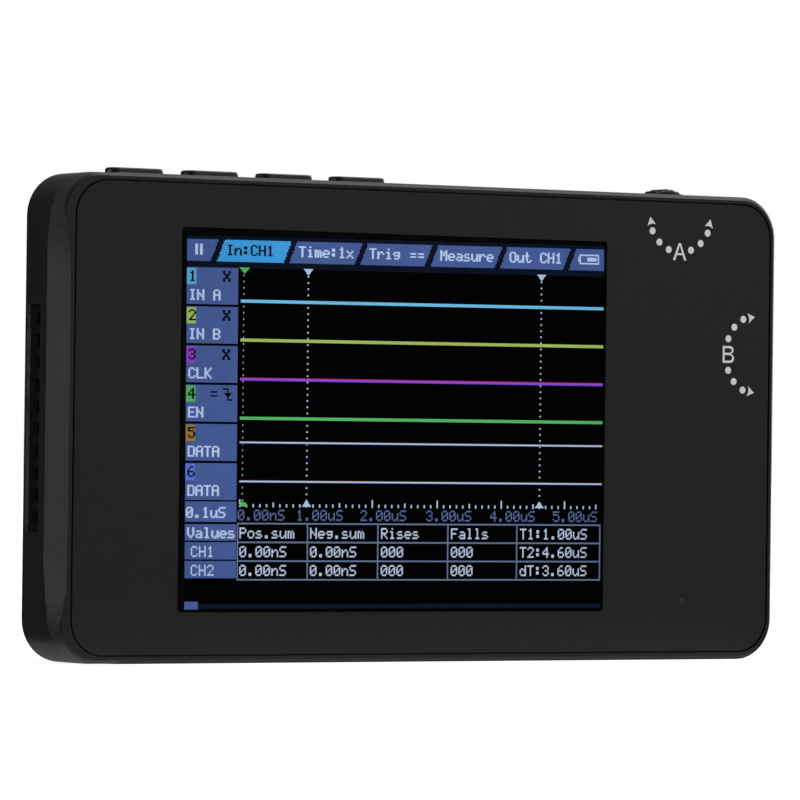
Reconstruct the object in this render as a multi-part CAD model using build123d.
from build123d import *
import math
import os

# Pocket logic analyzer, standing upright on its lower edge.
# +X runs to the right across the display, +Z up, and the display faces -Y.
# The origin is the centre of the bottom face.  Depth d runs from the display
# face (d = 0) to the back (d = THICK), so y = d - THICK / 2.
# Limits of a rectangle in the display plane are (x0, x1, z0, z1).

# ---- body ----
WIDTH, HEIGHT, THICK = 100.0, 56.5, 9.0
OUTLINE = (-WIDTH / 2, WIDTH / 2, 0, HEIGHT)
CORNER_R = 5.0
FRONT_CHAMFER, REAR_CHAMFER = 0.45, 0.40
PLATE_CHAMFER = 0.06                # outer edge of front panel and back cover
PAST = 1.0                          # how far cutters run past a face
LAP = 0.5                           # how far tools overlap the pocket wall

# ---- tapered facet down the left front edge ----
FACET_WIDTH = 1.15                  # on the front face, straight stretch
FACET_DEPTH = 3.55                  # on the side wall, straight stretch
FACET_Z0, FACET_Z1 = 11.3, 45.2     # straight stretch
# A run-out has three lists of stations, each with width and depth last:
# height on the way to the corner, degrees round it, length past it.
UPPER_RUN = (
    [(46.8, 1.07, 3.56), (48.3, 0.90, 3.50), (49.9, 0.62, 3.33)],
    [(0, 0.34, 2.98), (14, 0.23, 2.74), (30, 0.20, 2.55),
     (50, 0.18, 2.35), (70, 0.16, 2.22), (90, 0.14, 2.12)],
    [(2.2, 0.07, 1.98), (4.4, -0.06, 1.80)])
LOWER_RUN = (
    [(9.8, 1.10, 3.34), (8.2, 0.96, 3.12), (6.6, 0.70, 2.83)],
    [(0, 0.38, 2.50), (14, 0.24, 2.28), (30, 0.20, 2.18),
     (50, 0.18, 2.08), (70, 0.16, 2.03), (90, 0.14, 2.00)],
    [(2.2, 0.07, 1.92), (4.4, -0.06, 1.78)])

# ---- recesses, panel, cover and pocket ----
RECESS = (-48.37, 49.19, 0.83, 55.67)
RECESS_R, RECESS_D = 4.25, 0.90
GROOVE = 0.20                       # visible gap between panel and rim
PANEL_T = 0.80
COVER_T = 0.80
REAR_D = THICK - COVER_T            # floor of the rear recess
REAR_RIM, REAR_R = 0.93, 4.10       # rim width and corner of the rear recess
COVER_GAP = 0.12
POCKET = POCKET_X0, POCKET_X1, POCKET_Z0, POCKET_Z1 = -47.4, 48.0, 2.0, 54.4
POCKET_R = 3.0

# ---- fixings: (x, z) ----
POSTS = [(-45.2, 4.3), (-45.2, 52.1), (45.7, 4.3), (45.7, 52.1)]
BOSSES = [(-45.8, 10.3), (-45.8, 46.5), (46.4, 46.3), (31.5, 3.4)]
POST_R, BOSS_R = 2.4, 1.7
TAP_R, SCREW_R = 0.80, 0.78
HEX_ACROSS = 0.9                    # hexagon socket of every screw

# ---- main board ----
BOARD = (-47.0, 47.6, 2.4, 54.0)
BOARD_D0, BOARD_T = 4.10, 1.00
BOARD_D1 = BOARD_D0 + BOARD_T

# ---- push keys on the top edge ----
KEY_X = [-38.2, -28.1, -18.0, -7.95]
KEY_D = 4.5                         # depth of the key row
KEY_LENGTH, KEY_WIDTH = 7.4, 2.5
KEY_PROUD = 0.72                    # height above the top edge
KEY_GAP = 0.08                      # running gap
KEY_FLANGE_Z = POCKET_Z1 - 0.90     # underside of the retaining flange

# ---- thumb wheels: A stands out of the top edge, B out of the right edge ----
WHEEL_R, WHEEL_T = 4.60, 2.80
WHEEL_PROUD = 0.80
WHEEL_D = 4.5                       # depth of both wheel centres
WHEEL_A_X, WHEEL_B_Z = 35.95, 37.25
WHEEL_Y = WHEEL_D - THICK / 2
WHEEL_INSET = WHEEL_PROUD - WHEEL_R
WHEEL_PLACES = {
    "a": Pos(WHEEL_A_X, WHEEL_Y, HEIGHT + WHEEL_INSET),
    "b": Pos(WIDTH / 2 + WHEEL_INSET, WHEEL_Y, WHEEL_B_Z) * Rot(0, 90, 0),
}

# ---- openings shared by the frame and the parts behind them ----
PORT_D0, PORT_D1, PORT_Z0, PORT_Z1 = 5.05, 8.12, 15.10, 41.20   # probe port
PORT_STEP_X = -49.0                 # inside this the port is open to the rear
USB_Z, USB_WIDTH, USB_HEIGHT = 23.5, 7.5, 2.50
USB_CUT_D0, USB_GAP = 5.12, 0.14
SLIDE_Z, SLIDE_TRAVEL = 11.0, 3.0   # slider centre at its lower stop
SLIDE_D0, SLIDE_D1 = 5.80, 7.00
SLIDE_SLOT = (0.10, 1.7)            # gap in depth, half length round the stem
LAMP_X, LAMP_Z, LAMP_R = 36.5, 7.15, 0.50


# ---------------------------------------------------------------------------
# Helpers
# ---------------------------------------------------------------------------
def y_at(d):
    return d - THICK / 2


def block(x0, x1, d0, d1, z0, z1):
    """Box from its limits."""
    centre = Pos((x0 + x1) / 2, y_at((d0 + d1) / 2), (z0 + z1) / 2)
    return centre * Box(x1 - x0, d1 - d0, z1 - z0)


def inset(limits, margin):
    x0, x1, z0, z1 = limits
    return (x0 + margin, x1 - margin, z0 + margin, z1 - margin)


def face_plane(x, z, d):
    """Plane parallel to the display, facing the back."""
    return Plane(origin=(x, y_at(d), z), x_dir=(1, 0, 0), z_dir=(0, 1, 0))


def slab(limits, radius, d0, d1):
    """Rounded rectangle in the display plane, from depth d0 to d1."""
    x0, x1, z0, z1 = limits
    outline = RectangleRounded(x1 - x0, z1 - z0, radius)
    return extrude(face_plane((x0 + x1) / 2, (z0 + z1) / 2, d0) * outline, amount=d1 - d0)


def rod(x, z, radius, d0, d1):
    return extrude(face_plane(x, z, d0) * Circle(radius), amount=d1 - d0)


def cone(x, z, r0, r1, d0, d1):
    """Cone along the depth, radius r0 at d0 and r1 at d1."""
    return Pos(x, y_at((d0 + d1) / 2), z) * Rot(-90, 0, 0) * Cone(r0, r1, d1 - d0)


def hex_rod(x, z, d0, d1):
    hexagon = RegularPolygon(HEX_ACROSS / 2, 6, major_radius=False)
    return extrude(face_plane(x, z, d0) * hexagon, amount=d1 - d0)


def stadium(x, z0, z1, length, width):
    """Upright prism with half-round ends, in the key row."""
    return extrude(Pos(x, y_at(KEY_D), z0) * SlotOverall(length, width), amount=z1 - z0)


def front_edges(solid):
    return solid.faces().sort_by(Axis.Y)[0].edges()


def back_edges(solid):
    return solid.faces().sort_by(Axis.Y)[-1].edges()


def pocket_side(x):
    """Just outside the pocket wall on the side of x."""
    return POCKET_X0 - LAP if x < 0 else POCKET_X1 + LAP


def remove_corner(solid, x, z, radius, end_x, end_z, d0, d1):
    """Remove a rod and the two blocks that join it to the walls at its corner."""
    solid -= rod(x, z, radius, d0, d1)
    solid -= block(min(x, end_x), max(x, end_x), d0, d1, z - radius, z + radius)
    solid -= block(x - radius, x + radius, d0, d1, min(z, end_z), max(z, end_z))
    return solid


def slide_room(x0, x1, gap, half_length):
    """Space swept by the slider over its travel."""
    return block(x0, x1, SLIDE_D0 - gap, SLIDE_D1 + gap,
                 SLIDE_Z - half_length, SLIDE_Z + SLIDE_TRAVEL + half_length)


# ---------------------------------------------------------------------------
# Case frame: a full-thickness ring with front and rear recesses
# ---------------------------------------------------------------------------
def facet_section(centre_x, centre_z, out_x, out_z, width, depth):
    """Cutting profile, set off from a corner centre along an outward direction."""
    front, rear, outer = -1.0, 6.0, 8.0
    slope = width / depth
    edge = CORNER_R - width

    def at(out, d):
        return (centre_x + out_x * out, y_at(d), centre_z + out_z * out)

    return make_face(Polyline(at(edge + front * slope, front), at(edge + rear * slope, rear),
                              at(outer, rear), at(outer, front), close=True))


def facet_run(start_z, corner_z, up, stations):
    """Lofted run-out from the straight stretch round one corner; up is 1 or -1."""
    climb, turn, past = stations
    centre_x = -WIDTH / 2 + CORNER_R
    sections = [facet_section(centre_x, start_z - up * back, -1, 0, FACET_WIDTH, FACET_DEPTH)
                for back in (4.0, 2.0, 0.0)]
    sections += [facet_section(centre_x, z, -1, 0, width, depth) for z, width, depth in climb]
    for degrees, width, depth in turn:
        angle = math.radians(degrees)
        sections.append(facet_section(centre_x, corner_z, -math.cos(angle),
                                      up * math.sin(angle), width, depth))
    sections += [facet_section(centre_x + along, corner_z, 0, up, width, depth)
                 for along, width, depth in past]
    return loft(sections)


def through_pocket():
    """Pocket cutter, less the screw posts and board bosses that stay standing."""
    pocket = slab(POCKET, POCKET_R, -PAST, THICK + PAST)
    for x, z in POSTS:
        wall_z = POCKET_Z0 - LAP if z < HEIGHT / 2 else POCKET_Z1 + LAP
        pocket = remove_corner(pocket, x, z, POST_R, pocket_side(x), wall_z, RECESS_D, REAR_D)
    for x, z in BOSSES:
        pocket -= rod(x, z, BOSS_R, RECESS_D, BOARD_D0)
        if abs(x) > 40:             # web to the side wall
            wall_x = pocket_side(x)
            pocket -= block(min(x, wall_x), max(x, wall_x), RECESS_D, BOARD_D0,
                            z - BOSS_R, z + BOSS_R)
        else:                       # web to the lower wall
            pocket -= block(x - BOSS_R, x + BOSS_R, RECESS_D, BOARD_D0, POCKET_Z0 - LAP, z)
    return pocket


def cut_openings(frame):
    """Key, wheel and slider slots, probe and charging ports."""
    for x in KEY_X:
        frame -= stadium(x, POCKET_Z1 - PAST, HEIGHT + PAST,
                         KEY_LENGTH + 2 * KEY_GAP, KEY_WIDTH + 2 * KEY_GAP)
    wheel_slot = Rot(90, 0, 0) * Cylinder(WHEEL_R + 0.42, WHEEL_T + 0.30)
    for place in WHEEL_PLACES.values():
        frame -= place * wheel_slot
    left_in, right_in = POCKET_X0 + LAP, POCKET_X1 - LAP
    right_out = WIDTH / 2 + PAST
    frame -= block(-right_out, left_in, PORT_D0, PORT_D1, PORT_Z0, PORT_Z1)
    frame -= block(PORT_STEP_X, left_in, PORT_D0, REAR_D + LAP, PORT_Z0, PORT_Z1)
    usb_half = USB_WIDTH / 2 + USB_GAP
    usb_cut = block(right_in, right_out, USB_CUT_D0 - USB_GAP,
                    USB_CUT_D0 + USB_HEIGHT + USB_GAP, USB_Z - usb_half, USB_Z + usb_half)
    frame -= fillet(usb_cut.edges().filter_by(Axis.X), 0.6)
    frame -= slide_room(right_in, right_out, *SLIDE_SLOT)
    return frame


def case_frame():
    frame = slab(OUTLINE, CORNER_R, 0, THICK)
    frame = chamfer(front_edges(frame), FRONT_CHAMFER)
    frame = chamfer(back_edges(frame), REAR_CHAMFER)
    straight = facet_section(-WIDTH / 2 + CORNER_R, FACET_Z0, -1, 0, FACET_WIDTH, FACET_DEPTH)
    frame -= extrude(straight, amount=FACET_Z1 - FACET_Z0, dir=(0, 0, 1))
    frame -= facet_run(FACET_Z1, HEIGHT - CORNER_R, 1, UPPER_RUN)
    frame -= facet_run(FACET_Z0, CORNER_R, -1, LOWER_RUN)
    frame -= slab(RECESS, RECESS_R, -PAST, RECESS_D)
    frame -= slab(inset(OUTLINE, REAR_RIM), REAR_R, REAR_D, THICK + PAST)
    frame -= through_pocket()
    for x, z in POSTS:              # tapped holes
        frame -= rod(x, z, TAP_R, REAR_D - 5.2, REAR_D + PAST)
    for x, z in BOSSES:
        frame -= rod(x, z, TAP_R, 1.5, BOARD_D0 + PAST)
    return cut_openings(frame)


parts = {"case_frame": case_frame()}

# ---------------------------------------------------------------------------
# Front panel, its adhesive ring and the display window
# ---------------------------------------------------------------------------
WINDOW, WINDOW_R = (-34.28, 24.95, 5.88, 50.47), 0.35
WINDOW_GAP = 0.04
REBATE = (-42.9, 26.8, 2.7, 53.3)   # behind the panel, for the display
REBATE_R, REBATE_D = 0.8, 0.42
GLUE_INSET, GLUE_OVERHANG = 0.1, 0.15   # back from panel edge, out from pocket wall
LENS_D0, LENS_T = 0.03, 0.35


def front_panel():
    panel = slab(inset(RECESS, GROOVE), RECESS_R - GROOVE, 0, PANEL_T)
    panel = chamfer(front_edges(panel), PLATE_CHAMFER)
    panel -= slab(WINDOW, WINDOW_R, -PAST, PANEL_T + PAST)
    panel -= slab(REBATE, REBATE_R, REBATE_D, PANEL_T + PAST)
    panel -= rod(LAMP_X, LAMP_Z, LAMP_R + 0.05, -PAST, PANEL_T + PAST)
    return panel


def panel_adhesive():
    margin = GROOVE + GLUE_INSET
    glue = slab(inset(RECESS, margin), RECESS_R - margin, PANEL_T, RECESS_D)
    glue -= slab(inset(POCKET, GLUE_OVERHANG), POCKET_R - GLUE_OVERHANG, 0, RECESS_D + PAST)
    return glue


parts["front_panel"] = front_panel()
parts["panel_adhesive"] = panel_adhesive()
parts["display_window"] = slab(inset(WINDOW, WINDOW_GAP), WINDOW_R - WINDOW_GAP,
                               LENS_D0, LENS_D0 + LENS_T)

# ---------------------------------------------------------------------------
# Display: glass cell, backlight tray, folded flex tail, foam pads
# ---------------------------------------------------------------------------
LCD = LCD_X0, LCD_X1, LCD_Z0, LCD_Z1 = -42.6, 26.5, 3.0, 53.0
GLASS_D0, GLASS_D1, LIGHT_D1 = 0.44, 1.90, 3.00
LEDGE_X, LEDGE_T = -38.6, 0.70      # driver ledge on the left of the glass
TRAY_RIM, TRAY_FLOOR_D = 2.0, LIGHT_D1 - 0.25
FLEX_T = 0.12
FLEX_D0, FLEX_D1 = GLASS_D1 - 0.5, 3.62     # inner faces of the fold
FLEX_END_X = -39.2
FLEX_Z0, FLEX_HEIGHT = 20.0, 16.0


def lcd_glass():
    cell = slab(LCD, 0.4, GLASS_D0, GLASS_D1)
    cell -= block(LCD_X0 - PAST, LEDGE_X, GLASS_D0 - 0.1, GLASS_D0 + LEDGE_T,
                  LCD_Z0 - PAST, LCD_Z1 + PAST)
    return cell


def lcd_backlight():
    tray = slab(LCD, 0.6, GLASS_D1, LIGHT_D1)
    tray -= slab(inset(LCD, TRAY_RIM), 0.6, TRAY_FLOOR_D, LIGHT_D1 + PAST)
    return tray


def lcd_flex():
    """Flex tail: off the glass, round a half turn and back towards the board."""
    bend_x = LCD_X0 - 0.5
    bend_r = (FLEX_D1 - FLEX_D0) / 2
    bend_y = y_at((FLEX_D0 + FLEX_D1) / 2)
    inner_y0, inner_y1 = y_at(FLEX_D0), y_at(FLEX_D1)
    outer_y0, outer_y1 = y_at(FLEX_D0 - FLEX_T), y_at(FLEX_D1 + FLEX_T)
    with BuildSketch(Plane.XY) as profile:
        with BuildLine():
            Line((LCD_X0, inner_y0), (bend_x, inner_y0))
            ThreePointArc((bend_x, inner_y0), (bend_x - bend_r, bend_y), (bend_x, inner_y1))
            Line((bend_x, inner_y1), (FLEX_END_X, inner_y1))
            Line((FLEX_END_X, inner_y1), (FLEX_END_X, outer_y1))
            Line((FLEX_END_X, outer_y1), (bend_x, outer_y1))
            ThreePointArc((bend_x, outer_y1), (bend_x - bend_r - FLEX_T, bend_y),
                          (bend_x, outer_y0))
            Line((bend_x, outer_y0), (LCD_X0, outer_y0))
            Line((LCD_X0, outer_y0), (LCD_X0, inner_y0))
        make_face()
    return Pos(0, 0, FLEX_Z0) * extrude(profile.sketch, amount=FLEX_HEIGHT)


def flex_connector():
    gap = 0.08
    connector = block(-40.6, -37.0, 3.12, BOARD_D0, 18.6, 37.4)
    connector -= block(-41.6, -39.0, FLEX_D1 - gap, FLEX_D1 + FLEX_T + gap, 19.4, 36.6)
    return connector


parts["lcd_glass"] = lcd_glass()
parts["lcd_backlight"] = lcd_backlight()
parts["lcd_flex"] = lcd_flex()
parts["flex_connector"] = flex_connector()
parts["lcd_foam_pads"] = Compound(children=[
    block(x0, x0 + 4.0, TRAY_FLOOR_D, BOARD_D0, 8.0, 46.0) for x0 in (-30.0, 15.0)])


# ---------------------------------------------------------------------------
# Main board and its screws
# ---------------------------------------------------------------------------
def main_board():
    corner_r, corner_reach = POST_R + 0.2, 4
    board = slab(BOARD, 2.0, BOARD_D0, BOARD_D1)
    for x, z in POSTS:
        end_x = x + math.copysign(corner_reach, x)
        end_z = z + math.copysign(corner_reach, z - HEIGHT / 2)
        board = remove_corner(board, x, z, corner_r, end_x, end_z, 0, THICK)
    for x, z in BOSSES:
        board -= rod(x, z, 0.90, 0, THICK)
    for x in KEY_X:                 # notches for the switch body and the key flange
        board -= block(x - 3.15, x + 3.15, 0, THICK, 49.0, 55.0)
        board -= block(x - 4.35, x + 4.35, 0, THICK, 52.8, 55.0)
    # wheel and carrier opening, with a narrower one for the wheel's switch
    wheel_cut = Pos(0, 0, -0.85) * Box(10.2, THICK, 12.9)
    wheel_cut += Pos(0, 0, -9.35) * Box(4.9, THICK, 4.5)
    for place in WHEEL_PLACES.values():
        board -= place * wheel_cut
    return board


def board_screw(x, z):
    return (rod(x, z, SCREW_R, 2.0, BOARD_D1) + rod(x, z, 1.40, BOARD_D1, BOARD_D1 + 0.85)
            - hex_rod(x, z, BOARD_D1 + 0.40, BOARD_D1 + 1.5))


parts["main_board"] = main_board()
parts["board_screws"] = Compound(children=[board_screw(x, z) for x, z in BOSSES])

# ---------------------------------------------------------------------------
# Back cover and its countersunk screws
# ---------------------------------------------------------------------------
COVER_HOLE_R = 0.86
SINK_D = THICK - 0.72               # bottom of the countersinks


def back_cover():
    cover = slab(inset(OUTLINE, REAR_RIM + COVER_GAP), REAR_R - COVER_GAP, REAR_D, THICK)
    cover = chamfer(back_edges(cover), PLATE_CHAMFER)
    for x, z in POSTS:
        cover -= rod(x, z, COVER_HOLE_R, REAR_D - PAST, THICK + PAST)
        cover -= cone(x, z, COVER_HOLE_R, 1.62, SINK_D, THICK + 0.04)
    return cover


def cover_screw(x, z):
    return (rod(x, z, SCREW_R, REAR_D - 3.6, THICK - 0.70)
            + cone(x, z, SCREW_R, 1.48, SINK_D, THICK - 0.02)
            - hex_rod(x, z, THICK - 0.50, THICK + PAST))


parts["back_cover"] = back_cover()
parts["cover_screws"] = Compound(children=[cover_screw(x, z) for x, z in POSTS])

# ---------------------------------------------------------------------------
# Push keys, their plungers and side-acting switches
# ---------------------------------------------------------------------------
SWITCH_Z0, SWITCH_Z1 = 49.20, 52.70
SWITCH_HALF = 3.0                   # half the body length
LEG_LENGTH, LEG_T = 0.9, 0.3        # solder legs of all push switches


def key_cap(x):
    cap = stadium(x, KEY_FLANGE_Z, HEIGHT + KEY_PROUD, KEY_LENGTH, KEY_WIDTH)
    cap = fillet(cap.faces().sort_by(Axis.Z)[-1].edges(), 0.32)
    cap += stadium(x, KEY_FLANGE_Z, POCKET_Z1 - 0.08, 8.5, 2.9)
    return cap


def key_switch(x):
    switch = block(x - SWITCH_HALF, x + SWITCH_HALF, 3.10, 5.90, SWITCH_Z0, SWITCH_Z1)
    switch -= block(x - 1.35, x + 1.35, 3.80, 5.20, SWITCH_Z1 - 1.5, SWITCH_Z1 + PAST)
    for leg_x in (x - SWITCH_HALF - LEG_LENGTH, x + SWITCH_HALF):
        switch += block(leg_x, leg_x + LEG_LENGTH, BOARD_D1, BOARD_D1 + LEG_T,
                        SWITCH_Z0 + 0.6, SWITCH_Z0 + 1.8)
    return switch


for number, x in enumerate(KEY_X, start=1):
    parts[f"button_{number}"] = key_cap(x)
    parts[f"tact_switch_{number}"] = key_switch(x)
    parts[f"switch_plunger_{number}"] = block(x - 1.28, x + 1.28, 3.87, 5.13,
                                              SWITCH_Z1 - 1.0, KEY_FLANGE_Z)

# ---------------------------------------------------------------------------
# Thumb wheel units, built about the axle (along Y), +Z pointing out of the case
# ---------------------------------------------------------------------------
RIDGES = 36
# One ridge: (angle in half pitches, drop below the wheel radius)
RIDGE = ((-0.95, 0.26), (-0.42, 0.03), (0.0, 0.0), (0.42, 0.03))
BAND_T = WHEEL_T - 0.70             # full-radius band of the rim
BEVEL_T, BEVEL_DROP = 0.50, 0.45
AXLE_R, BORE_R = 0.60, 0.66
ARM_T, ARM_GAP = 0.55, 0.14
ARM_Y0 = WHEEL_T / 2 + ARM_GAP
ARM_Y1 = ARM_Y0 + ARM_T
YOKE_LENGTH, YOKE_T, YOKE_Z = 9.6, 0.9, -5.75   # crossbar below the wheel
BOARD_Y = BOARD_D1 - WHEEL_D        # rear face of the board
WHEEL_SWITCH_Z0, WHEEL_SWITCH_Z1 = -10.60, -7.90
ALONG_Y = Rot(90, 0, 0)


def thumb_wheel():
    points = []
    half_pitch = math.pi / RIDGES
    for k in range(RIDGES):
        ridge_angle = 2 * math.pi * k / RIDGES
        for offset_share, drop in RIDGE:
            angle = ridge_angle + offset_share * half_pitch
            radius = WHEEL_R - drop
            points.append((radius * math.cos(angle), radius * math.sin(angle)))
    side = Plane(origin=(0, -WHEEL_T / 2, 0), x_dir=(1, 0, 0), z_dir=(0, 1, 0))
    wheel = extrude(side * make_face(Polyline(*points, close=True)), amount=WHEEL_T)
    # bevel and turn down both shoulders, leaving a crowned rim
    band_r, bevel_r = WHEEL_R + 0.01, WHEEL_R - BEVEL_DROP
    bevel_z = BAND_T / 2 + BEVEL_T / 2
    wheel -= ALONG_Y * (Cylinder(WHEEL_R + PAST, WHEEL_T + PAST) - Cylinder(band_r, BAND_T)
                        - Pos(0, 0, bevel_z) * Cone(band_r, bevel_r, BEVEL_T)
                        - Pos(0, 0, -bevel_z) * Cone(bevel_r, band_r, BEVEL_T))
    for sign in (-1, 1):            # dished faces round a hub
        dish = Cylinder(3.4, 0.5) - Cylinder(1.5, 0.5)
        wheel -= Pos(0, sign * WHEEL_T / 2, 0) * ALONG_Y * dish
    wheel -= ALONG_Y * Cylinder(BORE_R, WHEEL_T + PAST)
    return wheel


def wheel_carrier():
    """Yoke: a crossbar with one arm on each side of the wheel."""
    carrier = Pos(0, 0, YOKE_Z) * Box(YOKE_LENGTH, 2 * ARM_Y1, YOKE_T)
    for sign in (-1, 1):
        arm_y = sign * (ARM_Y0 + ARM_Y1) / 2
        arm = Pos(0, arm_y, -2.85) * Box(3.4, ARM_T, 6.7)
        arm += Pos(0, arm_y, -4.80) * Box(YOKE_LENGTH, ARM_T, 1.2)
        carrier += arm
    carrier -= ALONG_Y * Cylinder(AXLE_R, 12)
    return carrier


def wheel_housing():
    """Bridge plate behind the wheel with two guide walls on the board."""
    wall_x0, wall_x1 = 4.95, 5.75
    plate_t = 0.40
    plate_y0 = ARM_Y1 + 0.16
    plate_y1 = plate_y0 + plate_t
    housing = Pos(0, plate_y0 + plate_t / 2, -2.60) * Box(2 * wall_x1, plate_t, 7.2)
    for sign in (-1, 1):
        wall = Box(wall_x1 - wall_x0, plate_y1 - BOARD_Y, 3.7)
        housing += Pos(sign * (wall_x0 + wall_x1) / 2, (BOARD_Y + plate_y1) / 2, -4.35) * wall
    return housing


def wheel_switch():
    """Push switch below the carrier, with a socket for the plunger."""
    switch = (Pos(0, 0, (WHEEL_SWITCH_Z1 + WHEEL_SWITCH_Z0) / 2)
              * Box(4.6, 2.6, WHEEL_SWITCH_Z1 - WHEEL_SWITCH_Z0))
    switch -= Pos(0, 0, WHEEL_SWITCH_Z1) * Box(1.9, 1.3, 2.4)
    for sign in (-1, 1):
        leg = Box(LEG_LENGTH, LEG_T, 1.2)
        switch += Pos(sign * 2.75, BOARD_Y + LEG_T / 2, WHEEL_SWITCH_Z0 + 1.2) * leg
    return switch


def wheel_plunger():
    top, bottom = YOKE_Z - YOKE_T / 2, WHEEL_SWITCH_Z1 - 0.7
    return Pos(0, 0, (top + bottom) / 2) * Box(1.75, 1.15, top - bottom)


wheel_unit = {
    "": thumb_wheel(),
    "_axle": ALONG_Y * Cylinder(AXLE_R, 2 * ARM_Y1),
    "_carrier": wheel_carrier(),
    "_housing": wheel_housing(),
    "_switch": wheel_switch(),
    "_plunger": wheel_plunger(),
}
for letter, place in WHEEL_PLACES.items():
    for suffix, piece in wheel_unit.items():
        parts[f"wheel_{letter}{suffix}"] = place * piece

# ---------------------------------------------------------------------------
# Probe socket on the left edge: a row of pin holes with contacts inside
# ---------------------------------------------------------------------------
SOCKET_X0, SOCKET_X1 = -49.58, -41.4
SOCKET_D1 = PORT_D1 - 0.07
SOCKET_Z0, SOCKET_Z1 = PORT_Z0 + 0.08, PORT_Z1 - 0.08
PIN_COUNT, PIN_PITCH, PIN_HOLE = 10, 2.54, 0.84
PIN_D = (BOARD_D1 + SOCKET_D1) / 2
PIN_D0, PIN_D1 = PIN_D - PIN_HOLE / 2, PIN_D + PIN_HOLE / 2
PIN_Z = [(SOCKET_Z0 + SOCKET_Z1) / 2 + (i - (PIN_COUNT - 1) / 2) * PIN_PITCH
         for i in range(PIN_COUNT)]
FUNNEL_MOUTH, FUNNEL_DEPTH = 1.5, 0.42


def probe_socket():
    def square(x, z, size):
        return Plane(origin=(x, y_at(PIN_D), z), z_dir=(1, 0, 0)) * Rectangle(size, size)

    socket = block(SOCKET_X0, SOCKET_X1, BOARD_D1, SOCKET_D1, SOCKET_Z0, SOCKET_Z1)
    for z in PIN_Z:
        socket -= block(SOCKET_X0 - PAST, SOCKET_X1 - 0.8, PIN_D0, PIN_D1,
                        z - PIN_HOLE / 2, z + PIN_HOLE / 2)
        socket -= loft([square(SOCKET_X0 - 0.001, z, FUNNEL_MOUTH),
                        square(SOCKET_X0 + FUNNEL_DEPTH, z, PIN_HOLE)])
    return socket


def probe_contact(z):
    """L-shaped leaf: along the front of the hole, turned back at its inner end."""
    d0 = PIN_D0 + 0.02
    leaf = block(SOCKET_X0 + 2.2, SOCKET_X1 - 0.85, d0, PIN_D0 + 0.17, z - 0.3, z + 0.3)
    leaf += block(SOCKET_X1 - 0.98, SOCKET_X1 - 0.82, d0, PIN_D1 - 0.05, z - 0.3, z + 0.3)
    return leaf


parts["probe_socket"] = probe_socket()
parts["probe_contacts"] = Compound(children=[probe_contact(z) for z in PIN_Z])

# ---------------------------------------------------------------------------
# Charging port on the right edge: metal shell and contact tongue
# ---------------------------------------------------------------------------
USB_X0, USB_X1 = 44.7, 49.9
USB_D0, USB_D1 = BOARD_D1, BOARD_D1 + USB_HEIGHT
USB_Z0, USB_Z1 = USB_Z - USB_WIDTH / 2, USB_Z + USB_WIDTH / 2
USB_WALL = 0.3


def usb_shell():
    shell = block(USB_X0, USB_X1, USB_D0, USB_D1, USB_Z0, USB_Z1)
    shell = fillet(shell.edges().filter_by(Axis.X), 0.55)
    inner = block(USB_X0 + USB_WALL, USB_X1 + PAST, USB_D0 + USB_WALL, USB_D1 - USB_WALL,
                  USB_Z0 + USB_WALL, USB_Z1 - USB_WALL)
    shell -= fillet(inner.edges().filter_by(Axis.X), 0.3)
    return shell


def usb_tongue():
    tongue = block(USB_X0 + 0.32, USB_X0 + 1.1, USB_D0 + 0.34, USB_D1 - 0.34,
                   USB_Z0 + 0.9, USB_Z1 - 0.9)
    tongue += block(USB_X0 + 1.0, USB_X1 - 0.8, USB_D0 + 0.40, USB_D0 + 0.95,
                    USB_Z0 + 1.5, USB_Z1 - 1.5)
    return tongue


parts["usb_shell"] = usb_shell()
parts["usb_tongue"] = usb_tongue()


# ---------------------------------------------------------------------------
# Power slide switch on the right edge
# ---------------------------------------------------------------------------
def power_switch():
    body = block(43.9, 47.9, BOARD_D1, 7.75, SLIDE_Z - 3.0, SLIDE_Z + SLIDE_TRAVEL + 3.0)
    body -= slide_room(46.1, 47.35, 0.12, 2.1)
    body -= slide_room(47.2, 49.0, *SLIDE_SLOT)
    return body


def power_slider():
    """Wide foot inside the switch, stem through the case, three grip grooves."""
    knob = block(46.2, 47.10, SLIDE_D0, SLIDE_D1, SLIDE_Z - 1.95, SLIDE_Z + 1.95)
    knob += block(47.0, 50.55, SLIDE_D0, SLIDE_D1, SLIDE_Z - 1.5, SLIDE_Z + 1.5)
    for offset_z in (-0.8, 0.0, 0.8):
        z = SLIDE_Z + offset_z
        knob -= block(50.35, 51.0, SLIDE_D0 - PAST, SLIDE_D1 + PAST, z - 0.16, z + 0.16)
    return knob


parts["power_switch"] = power_switch()
parts["power_slider"] = power_slider()

# ---------------------------------------------------------------------------
# Battery, pad, connector and leads
# ---------------------------------------------------------------------------
BATTERY_X0, BATTERY_X1, BATTERY_Z0, BATTERY_Z1 = -31.0, 11.0, 7.0, 41.0
BATTERY_D0, BATTERY_D1 = 5.30, 8.00
PAD_INSET = 3
PLUG_Z0 = 44.6                      # lower end of the battery connector


def battery():
    cell = block(BATTERY_X0, BATTERY_X1, BATTERY_D0, BATTERY_D1, BATTERY_Z0, BATTERY_Z1)
    cell = fillet(cell.edges().filter_by(Axis.Z), 0.9)
    ends = cell.faces().sort_by(Axis.Z)
    return fillet(ends[0].edges() + ends[-1].edges(), 0.4)


def battery_lead(x):
    middle_z = (BATTERY_Z1 + PLUG_Z0) / 2
    return Pos(x, y_at(6.1), middle_z) * Cylinder(0.45, PLUG_Z0 - BATTERY_Z1)


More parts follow.
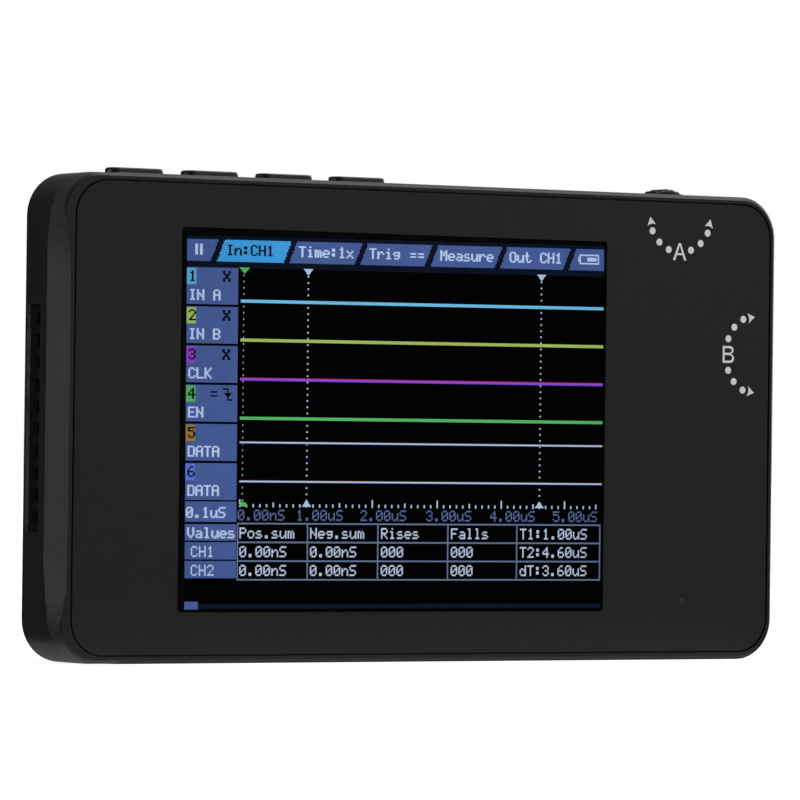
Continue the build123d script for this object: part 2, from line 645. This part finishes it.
parts["battery"] = battery()
parts["battery_pad"] = block(BATTERY_X0 + PAD_INSET, BATTERY_X1 - PAD_INSET, BOARD_D1,
                             BATTERY_D0, BATTERY_Z0 + PAD_INSET, BATTERY_Z1 - PAD_INSET)
parts["battery_connector"] = block(3.0, 8.0, BOARD_D1, BOARD_D1 + 2.0, PLUG_Z0, 47.8)
parts["battery_leads"] = Compound(children=[battery_lead(x) for x in (4.8, 6.2)])

# ---------------------------------------------------------------------------
# Chips and small parts on the rear of the board
# ---------------------------------------------------------------------------
CHIP_GAP = 0.10                     # package stands this far off the board


def chip(x0, z0, width, height, thick, pins=0):
    """Flat package on two rows of legs, or on a central pad if it has no pins."""
    x1, z1 = x0 + width, z0 + height
    top = BOARD_D1 + thick
    body = block(x0, x1, BOARD_D1 + CHIP_GAP, top, z0, z1)
    body = chamfer(back_edges(body), 0.12)
    body -= rod(x0 + 1.0, z1 - 1.0, 0.35, top - 0.08, top + PAST)
    if not pins:
        body += block(x0 + 0.3, x1 - 0.3, BOARD_D1, BOARD_D1 + CHIP_GAP + 0.05,
                      z0 + 0.3, z1 - 0.3)
    half_leg = min(0.32, 0.5 * height / max(pins, 1)) / 2
    for j in range(pins):
        z = z0 + height * (j + 0.5) / pins
        for leg_x0, leg_x1 in ((x0 - 0.7, x0 + 0.05), (x1 - 0.05, x1 + 0.7)):
            body += block(leg_x0, leg_x1, BOARD_D1, BOARD_D1 + 0.35, z - half_leg, z + half_leg)
    return body


def buzzer():
    x, z = 38.0, 23.0
    body = rod(x, z, 4.4, BOARD_D1, BOARD_D1 + 2.0)
    body = chamfer(back_edges(body), 0.2)
    body -= rod(x, z, 0.7, BOARD_D1 + 1.5, BOARD_D1 + 3)
    return body


parts["mcu_chip"] = chip(16.5, 29.0, 10.0, 10.0, 1.5, pins=12)
parts["logic_chip"] = chip(16.5, 13.0, 9.0, 9.0, 1.1, pins=10)
parts["memory_chip"] = chip(29.0, 24.5, 3.9, 4.9, 1.5, pins=4)
parts["input_buffers"] = Compound(children=[
    chip(-38.6, z0, 4.4, 9.7, 1.1, pins=10) for z0 in (16.0, 30.0)])
crystal = block(29.2, 32.4, BOARD_D1, BOARD_D1 + 0.8, 31.6, 34.1)
parts["crystal"] = fillet(crystal.edges().filter_by(Axis.Y), 0.4)
inductor = block(28.6, 32.6, BOARD_D1, BOARD_D1 + 2.0, 9.0, 13.0)
parts["power_inductor"] = chamfer(inductor.edges().filter_by(Axis.Y), 0.7)
parts["charger_chip"] = chip(29.2, 16.0, 3.0, 3.0, 1.0)
parts["buzzer"] = buzzer()

# ---------------------------------------------------------------------------
# Status lamp: chip on the front of the board and light pipe to the panel
# ---------------------------------------------------------------------------
parts["status_led"] = block(LAMP_X - 0.8, LAMP_X + 0.8, BOARD_D0 - 0.75, BOARD_D0,
                            LAMP_Z - 0.4, LAMP_Z + 0.4)
parts["light_pipe"] = (rod(LAMP_X, LAMP_Z, LAMP_R, 0.02, BOARD_D0 - 0.85)
                       + rod(LAMP_X, LAMP_Z, 1.1, PANEL_T, PANEL_T + 0.6))

os.makedirs("parts", exist_ok=True)
for name, shape in parts.items():
    export_step(shape, f"parts/{name}.step")
